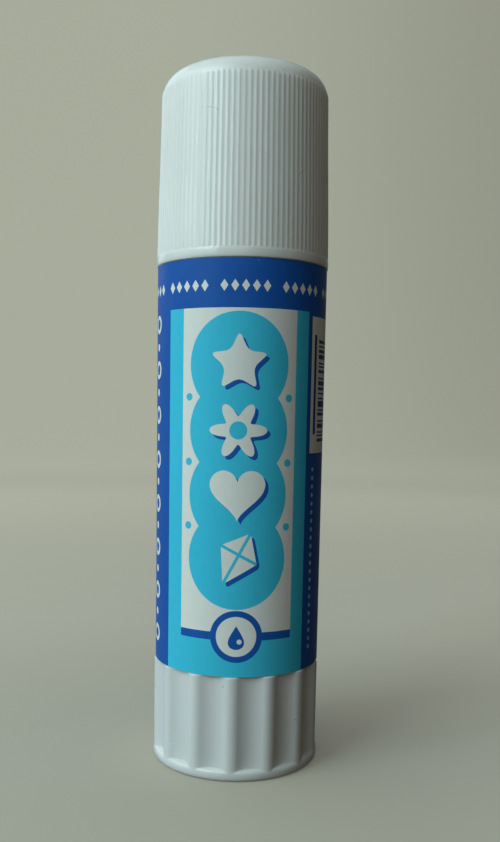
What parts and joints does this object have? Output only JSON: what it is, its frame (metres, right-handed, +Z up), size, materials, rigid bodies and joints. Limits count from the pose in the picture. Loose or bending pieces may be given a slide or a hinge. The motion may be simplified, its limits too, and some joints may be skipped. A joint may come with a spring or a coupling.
{
  "type": "glue stick",
  "caption": "Twist-up glue stick: round barrel with a label, ribbed pull-off cap, and a fluted turning base that drives a threaded spindle and glue carrier.",
  "frame": {"origin": "centre of the turning base's flat underside, on the stick's axis", "axes": "+Z up along the stick towards the cap's dome; -Y faces the front of the label"},
  "size_m": [0.0234, 0.0234, 0.094],
  "materials": {
    "cap_white": "satin white polypropylene",
    "barrel_white": "semi-gloss white polypropylene",
    "label_film": "semi-gloss printed film",
    "base_white": "satin white polypropylene",
    "spindle_white": "natural white polypropylene",
    "carrier_white": "natural white polypropylene",
    "glue_mass": "waxy, slightly translucent"
  },
  "bodies": {
    "barrel": {"barrel": "barrel_white", "label": "label_film"},
    "cap": {"cap": "cap_white"},
    "base": {"turning_base": "base_white", "spindle": "spindle_white"},
    "carrier": {"carrier": "carrier_white", "glue": "glue_mass"}
  },
  "joints": [
    {"name": "cap_pull", "type": "slide", "parent": "barrel", "child": "cap", "axis": [0, 0, 1], "range_m": [0, 0.036]},
    {"name": "base_turn", "type": "hinge", "parent": "barrel", "child": "base", "pos_m": [0, 0, 0.008], "axis": [0, 0, 1], "range_deg": [-2490, 660]},
    {"name": "carrier_slide", "type": "slide", "parent": "barrel", "child": "carrier", "axis": [0, 0, 1], "range_m": [-0.0416, 0.0111]}
  ],
  "couplings": [
    {"joint": "carrier_slide", "follows": "base_turn", "m_per_rad": 0.00095493}
  ]
}
